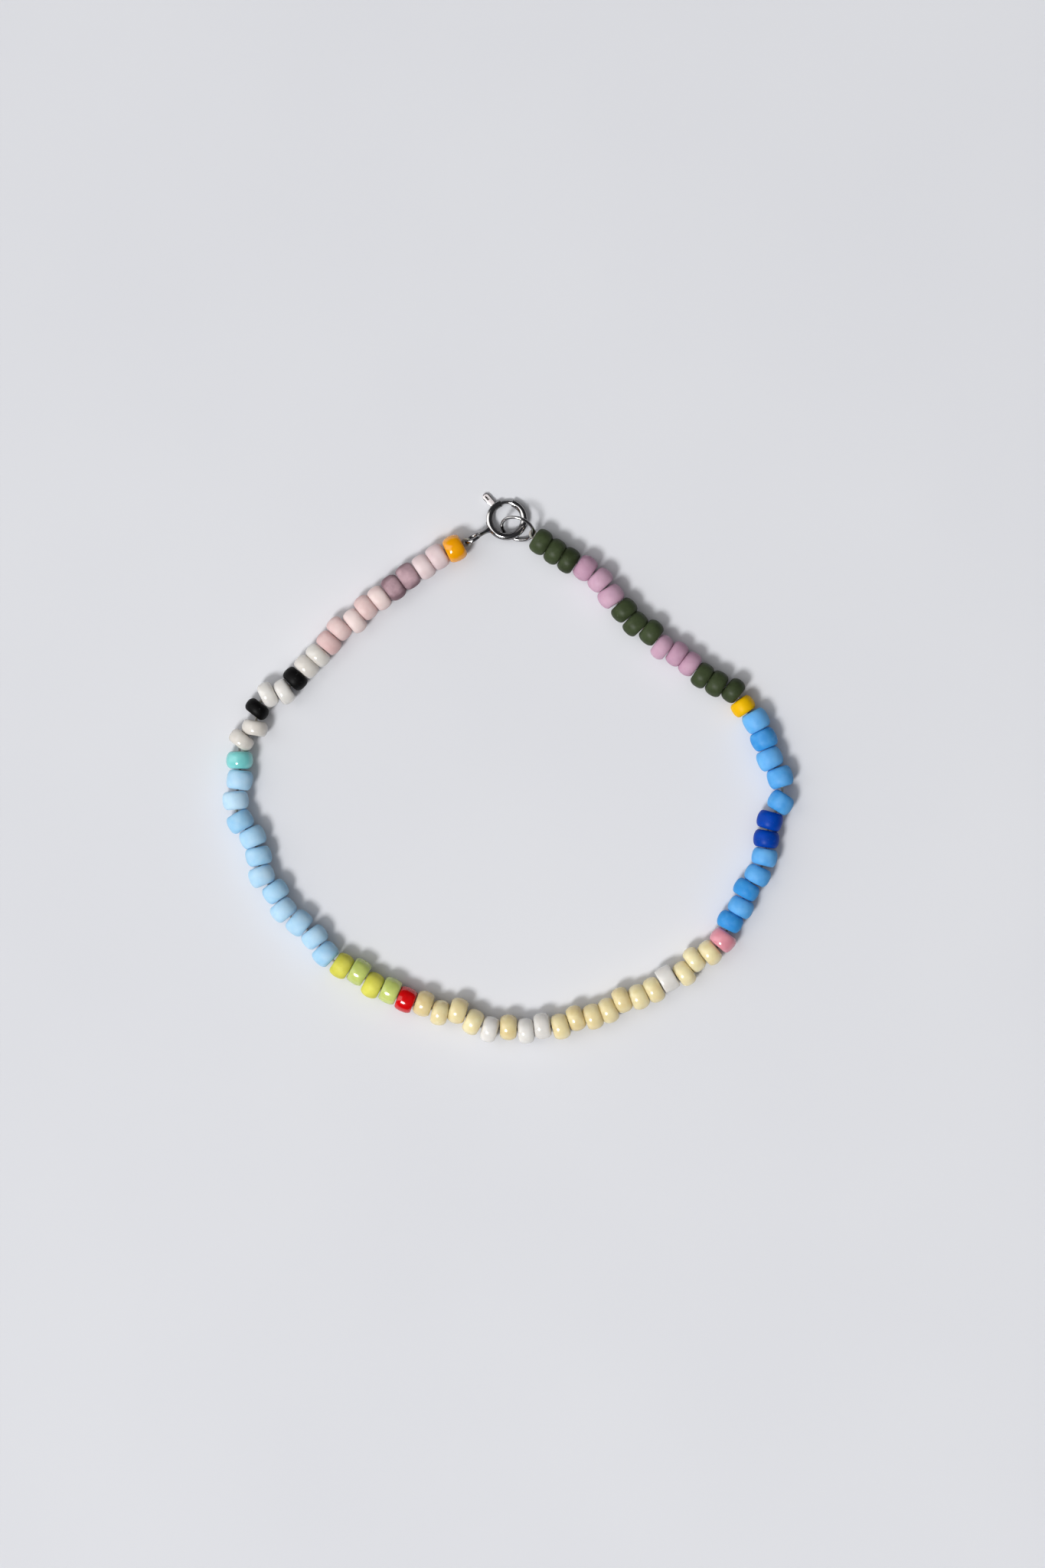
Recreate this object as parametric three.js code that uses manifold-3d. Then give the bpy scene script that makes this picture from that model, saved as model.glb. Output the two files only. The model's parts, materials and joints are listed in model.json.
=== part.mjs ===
// Single strand bracelet: glass seed beads on one thread, closed by a spring ring clasp and a jump ring.
// It lies flat on a table as a closed loop. Millimetres, +Z up, origin under the middle of its box.

import * as THREE from "three";
import { mergeVertices } from "three/addons/utils/BufferGeometryUtils.js";
import Module from "manifold-3d";

const wasm = await Module();
wasm.setup();

// Beads and thread
const beadDiameter = 3.0;
const beadLength = 2.045;
const beadHole = 1.1;
const beadSides = 10;
const lengthSpread = 0.03;
const runGap = 0.06;
const threadDiameter = 0.3;
const threadSides = 6;
const strandSpacing = 0.4;
const tailLength = 1.7;

// Spring ring clasp
const ringDiameter = 5.0;
const ringTube = 0.86;
const mouthStartAngle = 72;
const mouthEndAngle = 109;
const gateWire = 0.4;
const gateClearance = 0.07;
const gateOverlapAngle = 5;
const gateTailAngle = 16;
const triggerAngle = 132;
const triggerWidth = 0.9;
const triggerThickness = 0.34;
const triggerReach = 1.58;
const dimpleDiameter = 0.34;
const eyeAngle = 210;
const eyeDiameter = 2.1;
const eyeWire = 0.42;
const eyeLeanAngle = 18;
const neckLength = 1.1;
const neckDiameter = 0.56;
const neckSeat = 0.29;

// Jump ring, which hangs in the spring ring and holds the other end of the string
const jumpDiameter = 4.2;
const jumpWire = 0.38;
const jumpTiltAngle = 52;
const jumpHeadingAngle = -19.4;
const jumpSeamAngle = 2;
const linkAngle = -38;
const linkSlack = 0.38;

// How the loose pieces lie
const floorClearance = 0.03;
const linkClearance = 0.04;
const threadClearance = 0.07;
const eyeThreadShown = 0.3;
const jumpThreadShown = 0.15;
const lowSideAngle = 105;

// Along a bead from its middle: half its flat band, its shoulder and the rim of its face, as shares
// of its length, and the shoulder's and rim's radius as shares of its radius.
const forms = {
  boxy: { flat: 0.3, shoulder: 0.44, shoulderRadius: 0.91, rimRadius: 0.7 },
  round: { flat: 0.14, shoulder: 0.38, shoulderRadius: 0.85, rimRadius: 0.6 },
};

// One row for each stretch of beads of one colour, in order from the clasp's eye round to the jump ring.
// width and length are shares of the usual bead's. sway has an entry for each bead, which says how far
// it has slipped sideways off the string's line, outwards being positive, as a share of the bead's hole.
const runs = [
  { name: "amber", form: "round", width: 1.05, length: 1.06, colour: 0xf0a000, roughness: 0.15,
    sway: [0] },
  { name: "pale_pink", form: "round", width: 0.98, length: 0.98, colour: 0xe8d7d7, roughness: 0.4,
    sway: [0.1, 0] },
  { name: "mauve", form: "round", width: 1.00, length: 1.04, colour: 0xaa919b, roughness: 0.45,
    sway: [0.1, 0] },
  { name: "pink", form: "round", width: 0.98, length: 0.95, colour: 0xe0cbc8, roughness: 0.4,
    sway: [0, 0.1, -0.3, 0.2, 0] },
  { name: "ivory_a", form: "round", width: 0.97, length: 0.91, colour: 0xd7d5d0, roughness: 0.2,
    sway: [0, 0.1] },
  { name: "black_a", form: "boxy", width: 0.96, length: 0.90, colour: 0x141312, roughness: 0.6,
    sway: [0.1] },
  { name: "white_a", form: "round", width: 1.00, length: 0.85, colour: 0xdedede, roughness: 0.15,
    sway: [-0.2, 0.2] },
  { name: "black_b", form: "boxy", width: 0.96, length: 0.84, colour: 0x141312, roughness: 0.6,
    sway: [0] },
  { name: "ivory_b", form: "round", width: 1.00, length: 0.85, colour: 0xddd8cc, roughness: 0.2,
    sway: [-0.2, 0.2] },
  { name: "turquoise", form: "boxy", width: 1.03, length: 1.02, colour: 0x5fc3be, roughness: 0.2,
    sway: [0] },
  { name: "pale_blue", form: "boxy", width: 1.00, length: 1.08, colour: 0xaccee7, roughness: 0.6,
    sway: [-0.3, 0, 0.3, -0.1, -0.1, 0.2, -0.3, 0.2, 0, -0.2, 0] },
  { name: "lime_yellow_a", form: "round", width: 1.00, length: 1.00, colour: 0xcdd046, roughness: 0.5,
    sway: [0.1] },
  { name: "lime_green_a", form: "round", width: 1.00, length: 1.00, colour: 0xaacd64, roughness: 0.2,
    sway: [-0.3] },
  { name: "lime_yellow_b", form: "round", width: 1.00, length: 1.00, colour: 0xcdd046, roughness: 0.5,
    sway: [0.2] },
  { name: "lime_green_b", form: "round", width: 1.00, length: 1.00, colour: 0xaacd64, roughness: 0.2,
    sway: [-0.1] },
  { name: "red", form: "boxy", width: 0.98, length: 1.00, colour: 0xcd0a0f, roughness: 0.15,
    sway: [0.1] },
  { name: "cream_a", form: "round", width: 1.00, length: 0.97, colour: 0xe4daa5, roughness: 0.25,
    sway: [-0.2, 0.3, -0.3, 0.2] },
  { name: "white_b", form: "round", width: 1.00, length: 0.94, colour: 0xdedede, roughness: 0.3,
    sway: [0.2] },
  { name: "cream_b", form: "round", width: 1.00, length: 0.94, colour: 0xe4daa5, roughness: 0.25,
    sway: [-0.3] },
  { name: "white_c", form: "round", width: 1.00, length: 0.94, colour: 0xdedede, roughness: 0.3,
    sway: [0.1, -0.3] },
  { name: "cream_c", form: "round", width: 1.00, length: 0.95, colour: 0xe4daa5, roughness: 0.25,
    sway: [0.1, -0.3, 0.2, 0.2, -0.3, 0.1, 0.1] },
  { name: "white_d", form: "round", width: 1.00, length: 0.92, colour: 0xdedede, roughness: 0.3,
    sway: [-0.3] },
  { name: "cream_d", form: "round", width: 1.00, length: 0.92, colour: 0xe4daa5, roughness: 0.25,
    sway: [0.2, -0.4, 0.1] },
  { name: "coral", form: "round", width: 1.00, length: 1.02, colour: 0xda7d91, roughness: 0.2,
    sway: [0.1] },
  { name: "blue_a", form: "boxy", width: 1.00, length: 1.00, colour: 0x3c94db, roughness: 0.45,
    sway: [-0.3, 0.1, -0.3, 0, 0.1] },
  { name: "royal", form: "boxy", width: 1.00, length: 1.00, colour: 0x003ca5, roughness: 0.35,
    sway: [0, 0] },
  { name: "blue_b", form: "boxy", width: 1.00, length: 1.14, colour: 0x3c94db, roughness: 0.45,
    sway: [0, 0, -0.3, 0, 0.2] },
  { name: "yellow", form: "boxy", width: 0.92, length: 0.90, colour: 0xf5c800, roughness: 0.55,
    sway: [-0.2] },
  { name: "green_a", form: "round", width: 1.00, length: 0.95, colour: 0x37482d, roughness: 0.6,
    sway: [0.2, -0.1, -0.2] },
  { name: "lilac_a", form: "round", width: 0.98, length: 0.92, colour: 0xc39bb4, roughness: 0.55,
    sway: [0.1, 0.2, -0.2] },
  { name: "green_b", form: "round", width: 1.00, length: 1.00, colour: 0x37482d, roughness: 0.6,
    sway: [0.3, -0.2, 0] },
  { name: "lilac_b", form: "round", width: 1.00, length: 1.04, colour: 0xc39bb4, roughness: 0.55,
    sway: [-0.2, 0, 0] },
  { name: "green_c", form: "round", width: 1.00, length: 0.95, colour: 0x37482d, roughness: 0.6,
    sway: [-0.3, -0.3, -0.2] },
];

// The string's route on the table, from the eye round to the jump ring, seen from the clasp's middle.
const stringRoute = [
  [-5.6, -3.1],
  [-8.2, -4.5],
  [-13.4, -8.0],
  [-19.6, -12.9],
  [-22.4, -16.0],
  [-26.5, -20.2],
  [-28.6, -21.2],
  [-29.4, -22.2],
  [-30.1, -23.3],
  [-30.2, -25.0],
  [-31.5, -26.7],
  [-31.7, -28.9],
  [-32.1, -33.6],
  [-30.1, -38.0],
  [-28.6, -42.7],
  [-25.7, -46.8],
  [-23.9, -48.4],
  [-21.4, -51.5],
  [-19.4, -52.8],
  [-15.7, -55.0],
  [-9.7, -57.6],
  [-5.5, -58.6],
  [-1.8, -60.2],
  [2.2, -60.4],
  [6.2, -59.9],
  [12.1, -57.8],
  [17.8, -55.3],
  [21.0, -53.4],
  [25.4, -49.6],
  [27.6, -45.5],
  [29.8, -41.4],
  [31.0, -35.5],
  [32.4, -33.2],
  [32.1, -30.8],
  [28.1, -22.6],
  [26.6, -20.9],
  [24.5, -19.6],
  [18.4, -15.4],
  [13.8, -11.2],
  [10.9, -7.6],
  [3.4, -2.5],
];

// How finely the wires, tubes and bends are drawn
const wireSides = 6;
const tubeSides = 8;
const ringSteps = 26;
const eyeSteps = 20;
const boreSteps = 12;
const mouthSteps = 3;
const gateSteps = 10;
const loopSteps = 26;
const tabSteps = 10;
const slotSteps = 6;
const linkSamples = 120;

const up = new THREE.Vector3(0, 0, 1);
const radians = THREE.MathUtils.degToRad;
const ringRadius = (ringDiameter - ringTube) / 2;
const eyeRadius = (eyeDiameter - eyeWire) / 2;
const jumpRadius = (jumpDiameter - jumpWire) / 2;

function heading(degrees) {
  return new THREE.Vector3(Math.cos(radians(degrees)), Math.sin(radians(degrees)), 0);
}

// A circle's arc in the XY plane, in degrees from +X.
class Arc extends THREE.Curve {
  constructor(radius, from, to) {
    super();
    this.radius = radius;
    this.from = from;
    this.to = to;
  }

  getPoint(share, target = new THREE.Vector3()) {
    const angle = THREE.MathUtils.lerp(this.from, this.to, share);
    return target.copy(heading(angle)).multiplyScalar(this.radius);
  }
}

function roundSection(radius, sides) {
  const section = new THREE.Shape();
  for (let i = 0; i < sides; i += 1) {
    const angle = ((i + 0.5) * 2 * Math.PI) / sides;
    const corner = [radius * Math.cos(angle), radius * Math.sin(angle)];
    if (i === 0) section.moveTo(...corner);
    else section.lineTo(...corner);
  }
  section.closePath();
  return section;
}

function tube(path, diameter, sides, steps) {
  return new THREE.ExtrudeGeometry(roundSection(diameter / 2, sides), { steps, extrudePath: path });
}

function joined(geometry) {
  geometry.deleteAttribute("normal");
  geometry.deleteAttribute("uv");
  return mergeVertices(geometry);
}

function solid(geometry) {
  const shape = joined(geometry);
  return new wasm.Manifold(
    new wasm.Mesh({
      numProp: 3,
      vertProperties: new Float32Array(shape.attributes.position.array),
      triVerts: new Uint32Array(shape.index.array),
    }),
  );
}

function surface(body) {
  const made = body.getMesh();
  const geometry = new THREE.BufferGeometry();
  geometry.setAttribute("position", new THREE.BufferAttribute(new Float32Array(made.vertProperties), 3));
  geometry.setIndex(new THREE.BufferAttribute(new Uint32Array(made.triVerts), 1));
  return geometry;
}

function piece(name, geometry, colour, roughness, metalness) {
  geometry.computeVertexNormals();
  const material = new THREE.MeshStandardMaterial({ color: colour, roughness, metalness, flatShading: true });
  const mesh = new THREE.Mesh(geometry, material);
  mesh.name = name;
  return mesh;
}

// The clasp's places. The spring ring's near side lies on the table, and its far side leans on the jump
// ring's lower edge, just as high as keeps the two wires clear of each other.
const eyeOut = heading(eyeAngle);
const jumpOut = heading(jumpHeadingAngle);
const jumpHeight = floorClearance + jumpWire / 2 + jumpRadius * Math.sin(radians(jumpTiltAngle));
const jumpCentre = heading(linkAngle).multiplyScalar(ringRadius).addScaledVector(jumpOut, -linkSlack);
jumpCentre.z = jumpHeight;

const springRing = new THREE.Group();
const jumpPlace = new THREE.Group();
jumpPlace.position.copy(jumpCentre);
jumpPlace.rotation.set(radians(jumpTiltAngle), 0, radians(jumpHeadingAngle), "ZYX");
jumpPlace.updateMatrix();

function leanRing(rise) {
  const tilt = Math.asin(rise / (2 * ringRadius));
  springRing.position.z = floorClearance + ringTube / 2 + rise / 2;
  springRing.quaternion.setFromAxisAngle(heading(lowSideAngle - 90), -tilt);
  springRing.updateMatrix();
}

const springLine = new Arc(ringRadius, 0, 360).getPoints(linkSamples);
const jumpLine = new Arc(jumpRadius, 0, 360).getPoints(linkSamples);
jumpLine.forEach((point) => point.applyMatrix4(jumpPlace.matrix));

function linkDistance() {
  const spring = springLine.map((point) => point.clone().applyMatrix4(springRing.matrix));
  return Math.min(...spring.flatMap((point) => jumpLine.map((other) => point.distanceTo(other))));
}

let tooLow = 0;
let highEnough = ringRadius;
for (let tries = 0; tries < 30; tries += 1) {
  const rise = (tooLow + highEnough) / 2;
  leanRing(rise);
  if (linkDistance() < (ringTube + jumpWire) / 2 + linkClearance) tooLow = rise;
  else highEnough = rise;
}
leanRing(highEnough);

const beads = runs.flatMap((run) =>
  run.sway.map((sway) => ({
    run,
    form: forms[run.form],
    radius: (beadDiameter * run.width) / 2,
    aside: sway * beadHole,
  })),
);
beads.forEach((bead, i) => {
  bead.length = beadLength * bead.run.length * (1 + lengthSpread * Math.sin(2.4 * i));
});

const eyeHeight = beads[0].radius;
const eyeCentreReach = ringRadius + ringTube / 2 + neckLength + eyeDiameter / 2;
const eyeCentre = eyeOut.clone().multiplyScalar(eyeCentreReach).setZ(eyeHeight);
const eyeEnd = eyeCentre.clone().addScaledVector(eyeOut, eyeRadius);

const jumpEnd = jumpCentre.clone().addScaledVector(jumpOut, jumpRadius);

// The string's two ends, each beside the wire that its thread loops over.
const [startPoint, nextPoint] = stringRoute.slice(0, 2).map((point) => new THREE.Vector2(...point));
const [nearPoint, endPoint] = stringRoute.slice(-2).map((point) => new THREE.Vector2(...point));
const first = nextPoint.clone().sub(startPoint).normalize();
const last = nearPoint.clone().sub(endPoint).normalize();
const startOffset = eyeWire / 2 + eyeThreadShown;
const endOffset = jumpWire / 2 + jumpThreadShown;
const stringStart = new THREE.Vector2(eyeEnd.x, eyeEnd.y).addScaledVector(first, startOffset);
const stringEnd = new THREE.Vector2(jumpEnd.x, jumpEnd.y).addScaledVector(last, endOffset);

// The route at a scale, with its two ends brought to the clasp and the correction spread along it.
function routeAt(scale) {
  const chosen = stringRoute.map(([x, y]) => new THREE.Vector2(x * scale, y * scale));
  const startShift = stringStart.clone().sub(chosen[0]);
  const endShift = stringEnd.clone().sub(chosen.at(-1));
  const points = chosen.map((point, i) => {
    const share = i / (chosen.length - 1);
    const moved = point.clone().addScaledVector(startShift, 1 - share).addScaledVector(endShift, share);
    return new THREE.Vector3(moved.x, moved.y, 0);
  });
  const curve = new THREE.CatmullRomCurve3(points, false, "centripetal");
  curve.arcLengthDivisions = 40 * points.length;
  return curve;
}

// How far a bead reaches from its centre in a direction.
function reach(bead, direction) {
  const angle = direction.angleTo(bead.axis);
  const rings = [
    [bead.length / 2, bead.form.rimRadius * bead.radius],
    [bead.length * bead.form.shoulder, bead.form.shoulderRadius * bead.radius],
    [bead.length * bead.form.flat, bead.radius],
  ];
  return Math.max(...rings.map(([along, out]) => along * Math.cos(angle) + out * Math.sin(angle)));
}

// How much further along two neighbours must be to lie on two sides of one plane with a gap between
// them. The plane is square to their centres' line, to their mean axis or to one halfway between.
function shortfall(before, bead, gap) {
  const line = bead.centre.clone().sub(before.centre);
  const meanAxis = before.axis.clone().add(bead.axis).normalize();
  const normals = [0, 0.5, 1].map((share) => line.clone().normalize().lerp(meanAxis, share).normalize());
  return Math.min(...normals.map((n) => reach(before, n) + reach(bead, n) + gap - line.dot(n)));
}

// Threads the beads on the route, each as close to the one before as their shapes let it be.
// Gives each bead its centre and axis, and returns how much of the route they take up.
function threadBeads(curve) {
  const length = curve.getLength();
  let at = beads[0].length / 2;
  beads.forEach((bead, i) => {
    const before = beads[i - 1];
    if (before) at += (before.length + bead.length) / 2;
    for (let tries = 0; tries < 16; tries += 1) {
      const share = THREE.MathUtils.clamp(at / length, 0, 1);
      bead.axis = curve.getTangentAt(share);
      bead.centre = curve.getPointAt(share).addScaledVector(bead.axis, at - share * length);
      bead.centre.addScaledVector(bead.axis.clone().cross(up), bead.aside);
      bead.centre.z = bead.radius;
      if (before) at += shortfall(before, bead, bead.run === before.run ? 0 : runGap);
    }
  });
  return (at + beads.at(-1).length / 2) / length;
}

// The route's scale is halved in on until the beads fill it from end to end.
let tooSmall = 0.4;
let tooLarge = 2.5;
for (let tries = 0; tries < 40; tries += 1) {
  const scale = (tooSmall + tooLarge) / 2;
  if (threadBeads(routeAt(scale)) > 1) tooSmall = scale;
  else tooLarge = scale;
}

// A point of a bead, from its own axis, its side and straight up.
function placeOnBead(bead, along, out, angle) {
  const side = bead.axis.clone().cross(up);
  return bead.centre
    .clone()
    .addScaledVector(bead.axis, along)
    .addScaledVector(side, out * Math.sin(angle))
    .addScaledVector(up, out * Math.cos(angle));
}

// The beads of one colour as one drilled body: a turned string of beads whose rings are then set on
// each bead's own axis. Its facets are outside the round bead, and one of them lies on the table.
function beadRun(string) {
  const flatOut = 1 / Math.cos(Math.PI / beadSides);
  const rings = [];
  string.forEach((bead, i) => {
    const { flat, shoulder, shoulderRadius, rimRadius } = bead.form;
    const rim = rimRadius * bead.radius;
    if (i === 0) {
      rings.push({ bead, along: -bead.length / 2, out: beadHole / 2 });
      rings.push({ bead, along: -bead.length / 2, out: rim });
    } else {
      const before = string[i - 1];
      rings.push({ bead, along: -bead.length / 2, out: rim, before });
    }
    rings.push({ bead, along: -bead.length * shoulder, out: bead.radius * shoulderRadius });
    rings.push({ bead, along: -bead.length * flat, out: bead.radius });
    rings.push({ bead, along: bead.length * flat, out: bead.radius });
    rings.push({ bead, along: bead.length * shoulder, out: bead.radius * shoulderRadius });
  });
  const end = string.at(-1);
  rings.push({ bead: end, along: end.length / 2, out: end.form.rimRadius * end.radius });
  rings.push({ bead: end, along: end.length / 2, out: beadHole / 2 });
  for (let i = string.length - 1; i > 0; i -= 1) {
    rings.push({ bead: string[i], along: -string[i].length / 2, out: beadHole / 2, before: string[i - 1] });
  }
  rings.push(rings[0]);

  const profile = rings.map((ring, i) => new THREE.Vector2(ring.out, i));
  const turned = new THREE.LatheGeometry(profile, beadSides, Math.PI / beadSides, 2 * Math.PI);
  const places = turned.attributes.position;
  for (let i = 0; i < places.count; i += 1) {
    const ring = rings[i % rings.length];
    const facet = Math.floor(i / rings.length) % beadSides;
    const angle = ((facet + 0.5) * 2 * Math.PI) / beadSides;
    const out = ring.out * flatOut;
    const place = placeOnBead(ring.bead, ring.along, out, angle);
    if (ring.before) {
      place.add(placeOnBead(ring.before, ring.before.length / 2, out, angle)).divideScalar(2);
    }
    places.setXYZ(i, place.x, place.y, place.z);
  }
  return joined(turned);
}

// Straight stretches from point to point, with a ring of the tube at each point.
class PointLine extends THREE.Curve {
  constructor(points) {
    super();
    this.points = points;
  }

  getPoint(share, target = new THREE.Vector3()) {
    const place = share * (this.points.length - 1);
    const i = THREE.MathUtils.clamp(Math.floor(place), 0, this.points.length - 2);
    return target.lerpVectors(this.points[i], this.points[i + 1], place - i);
  }

  getUtoTmapping(share) {
    return share;
  }
}

// The thread at one end of the string: out of a bead's hole beside its own tail, round a wire and back.
function threadLoop(bead, outward, wirePoint, wireLine, wireDiameter) {
  const face = bead.centre.clone().addScaledVector(outward, bead.length / 2);
  const towards = wirePoint.clone().sub(face).normalize();
  const side = wireLine.clone().cross(towards).normalize();
  const turn = (wireDiameter + threadDiameter) / 2 + threadClearance;
  const corner = turn * Math.SQRT1_2;
  const inside = bead.centre.clone().addScaledVector(outward, bead.length / 2 - tailLength);
  const half = strandSpacing / 2;
  const holeSide = side.clone().addScaledVector(outward, -side.dot(outward)).normalize();
  const path = [
    inside.clone().addScaledVector(holeSide, half),
    face.clone().addScaledVector(holeSide, half),
    wirePoint.clone().addScaledVector(side, turn),
    wirePoint.clone().addScaledVector(side, corner).addScaledVector(towards, corner),
    wirePoint.clone().addScaledVector(towards, turn),
    wirePoint.clone().addScaledVector(side, -corner).addScaledVector(towards, corner),
    wirePoint.clone().addScaledVector(side, -turn),
    face.clone().addScaledVector(holeSide, -half),
    inside.clone().addScaledVector(holeSide, -half),
  ];
  return path;
}

const eyeEndLine = heading(eyeAngle + 90)
  .multiplyScalar(Math.sin(radians(eyeLeanAngle)))
  .addScaledVector(up, Math.cos(radians(eyeLeanAngle)));
const jumpEndLine = heading(jumpHeadingAngle + 90)
  .multiplyScalar(Math.cos(radians(jumpTiltAngle)))
  .addScaledVector(up, Math.sin(radians(jumpTiltAngle)));

function makeThread() {
  const firstBead = beads[0];
  const lastBead = beads.at(-1);
  const startLoop = threadLoop(firstBead, firstBead.axis.clone().negate(), eyeEnd, eyeEndLine, eyeWire);
  const endLoop = threadLoop(lastBead, lastBead.axis.clone(), jumpEnd, jumpEndLine, jumpWire);
  const middle = [startLoop.at(-2), startLoop.at(-1)];
  middle.push(...beads.slice(1, -1).map((bead) => bead.centre));
  middle.push(endLoop[0], endLoop[1]);
  const curve = (points) => new THREE.CatmullRomCurve3(points, false, "centripetal");
  const strand = solid(tube(new PointLine(middle), threadDiameter, threadSides, middle.length - 1));
  const startBend = solid(tube(curve(startLoop.slice(0, -1)), threadDiameter, threadSides, loopSteps));
  const endBend = solid(tube(curve(endLoop.slice(1)), threadDiameter, threadSides, loopSteps));
  return surface(strand.add(startBend).add(endBend));
}

// The spring ring's own body: a bored tube bent to a ring with a mouth, a slot for the trigger, and a
// neck with an eye soldered on, which stands nearly upright.
const gateTravel = mouthEndAngle - mouthStartAngle + gateOverlapAngle;
const triggerHalfAngle = THREE.MathUtils.radToDeg(triggerWidth / 2 / ringRadius);
const clearanceAngle = THREE.MathUtils.radToDeg(gateClearance / ringRadius);
const gateEnd = triggerAngle + gateTailAngle;

function bentTube(from, to, diameter, steps) {
  return solid(tube(new Arc(ringRadius, from, to), diameter, tubeSides, steps));
}

function ringSector(inner, outer, from, to, thickness) {
  const outline = new THREE.Shape();
  outline.absarc(0, 0, outer, radians(from), radians(to), false);
  outline.absarc(0, 0, inner, radians(to), radians(from), true);
  outline.closePath();
  const solidSector = { depth: thickness, bevelEnabled: false, curveSegments: slotSteps };
  return new THREE.ExtrudeGeometry(outline, solidSector).translate(0, 0, -thickness / 2);
}

function makeSpringRing() {
  const bore = gateWire + 2 * gateClearance;
  const body = bentTube(mouthEndAngle, mouthStartAngle + 360, ringTube, ringSteps);
  const receiverStart = mouthStartAngle - 2 * gateOverlapAngle;
  const receiver = bentTube(receiverStart, mouthStartAngle + gateOverlapAngle, bore, mouthSteps);
  const channelEnd = gateEnd + gateTravel + clearanceAngle;
  const channel = bentTube(mouthEndAngle - gateOverlapAngle, channelEnd, bore, boreSteps);
  const slotWidth = triggerThickness + 2 * gateClearance;
  const slotStart = triggerAngle - triggerHalfAngle - clearanceAngle;
  const slotEnd = triggerAngle + gateTravel + triggerHalfAngle + clearanceAngle;
  const slot = solid(ringSector(ringRadius, ringRadius + ringTube, slotStart, slotEnd, slotWidth));

  const toRing = springRing.matrix.clone().invert();
  const eye = new THREE.TorusGeometry(eyeRadius, eyeWire / 2, wireSides, eyeSteps);
  eye.rotateX(radians(90 - eyeLeanAngle)).rotateZ(radians(eyeAngle));
  eye.translate(eyeCentre.x, eyeCentre.y, eyeCentre.z).applyMatrix4(toRing);

  const neckStart = new THREE.Vector3().copy(eyeOut).multiplyScalar(ringRadius + neckSeat);
  const neckEnd = eyeCentre.clone().addScaledVector(eyeOut, -eyeRadius).applyMatrix4(toRing);
  const neck = tube(new THREE.LineCurve3(neckStart, neckEnd), neckDiameter, tubeSides, 1);
  const tubeAndBores = body.subtract(receiver).subtract(channel).subtract(slot);
  return surface(tubeAndBores.add(solid(neck)).add(solid(eye)));
}

// The gate: a thin bent wire that closes the mouth, and the trigger tab that draws it back.
function makeGate() {
  const wire = bentTube(mouthStartAngle - gateOverlapAngle, gateEnd, gateWire, gateSteps);
  const tab = new THREE.Shape();
  const half = triggerWidth / 2;
  const tip = ringTube / 2 + triggerReach;
  tab.moveTo(0, -half);
  tab.lineTo(tip - half, -half);
  tab.absarc(tip - half, 0, half, -Math.PI / 2, Math.PI / 2, false);
  tab.lineTo(0, half);
  tab.closePath();
  const plate = new THREE.ExtrudeGeometry(tab, {
    depth: triggerThickness,
    bevelEnabled: false,
    curveSegments: tabSteps,
  });
  const dimple = new THREE.SphereGeometry(dimpleDiameter / 2, 8, 6);
  dimple.translate(tip - half, 0, triggerThickness);
  const trigger = solid(plate).subtract(solid(dimple));
  const placed = trigger
    .translate([ringRadius, 0, -triggerThickness / 2])
    .rotate([0, 0, triggerAngle]);
  return surface(wire.add(placed));
}

function makeJumpRing() {
  const seam = new Arc(jumpRadius, 180 + jumpSeamAngle / 2, 540 - jumpSeamAngle / 2);
  return tube(seam, jumpWire, wireSides, ringSteps);
}

const silver = [0xc9c9cb, 0.25, 1];
springRing.add(piece("spring_ring", makeSpringRing(), ...silver));
springRing.add(piece("trigger_gate", makeGate(), ...silver));

jumpPlace.add(piece("jump_ring", joined(makeJumpRing()), ...silver));

const bracelet = new THREE.Group();
bracelet.add(springRing, jumpPlace);
bracelet.add(piece("thread", makeThread(), 0xe6e4dc, 0.3, 0));
for (const run of runs) {
  const string = beads.filter((bead) => bead.run === run);
  bracelet.add(piece(run.name, beadRun(string), run.colour, run.roughness, 0));
}

// The origin goes under the middle of the whole box, on the table.
const whole = new THREE.Box3().setFromObject(bracelet, true);
const middle = whole.getCenter(new THREE.Vector3());
bracelet.position.set(-middle.x, -middle.y, -whole.min.z);
bracelet.updateMatrixWorld(true);

export default bracelet;
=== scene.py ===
# %% [markdown]
# # A single strand bracelet of glass seed beads
# Eighty three small glass beads sit on one thread, which a spring ring clasp and a jump ring close
# into a loop on a table. The part's solids say where each piece is. This lesson dresses them: it
# turns smooth beads where the faceted ones lie, bends the clasp's wires, and gives each glass and
# the silver its own finish.

# %% Load the frame
import json
import math
import random

import bmesh
import bpy
import numpy as np
from mathutils import Matrix, Vector


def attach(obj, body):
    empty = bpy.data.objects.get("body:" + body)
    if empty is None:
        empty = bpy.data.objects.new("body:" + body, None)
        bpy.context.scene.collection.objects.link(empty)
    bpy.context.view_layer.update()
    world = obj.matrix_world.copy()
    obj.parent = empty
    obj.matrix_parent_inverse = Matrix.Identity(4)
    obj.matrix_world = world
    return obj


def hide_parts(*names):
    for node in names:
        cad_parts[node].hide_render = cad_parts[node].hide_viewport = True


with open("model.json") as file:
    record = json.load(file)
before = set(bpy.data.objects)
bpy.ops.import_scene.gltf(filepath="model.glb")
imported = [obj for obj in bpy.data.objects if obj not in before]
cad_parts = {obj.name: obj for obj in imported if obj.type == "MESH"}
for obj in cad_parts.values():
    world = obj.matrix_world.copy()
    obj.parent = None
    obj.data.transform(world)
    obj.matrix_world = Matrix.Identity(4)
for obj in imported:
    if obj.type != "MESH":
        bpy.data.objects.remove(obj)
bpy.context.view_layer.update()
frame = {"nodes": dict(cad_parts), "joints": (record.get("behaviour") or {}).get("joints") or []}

MM = 0.001
UP = Vector((0, 0, 1))
joint = frame["joints"][0]
ring_centre = Vector(joint["pos_m"])

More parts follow.
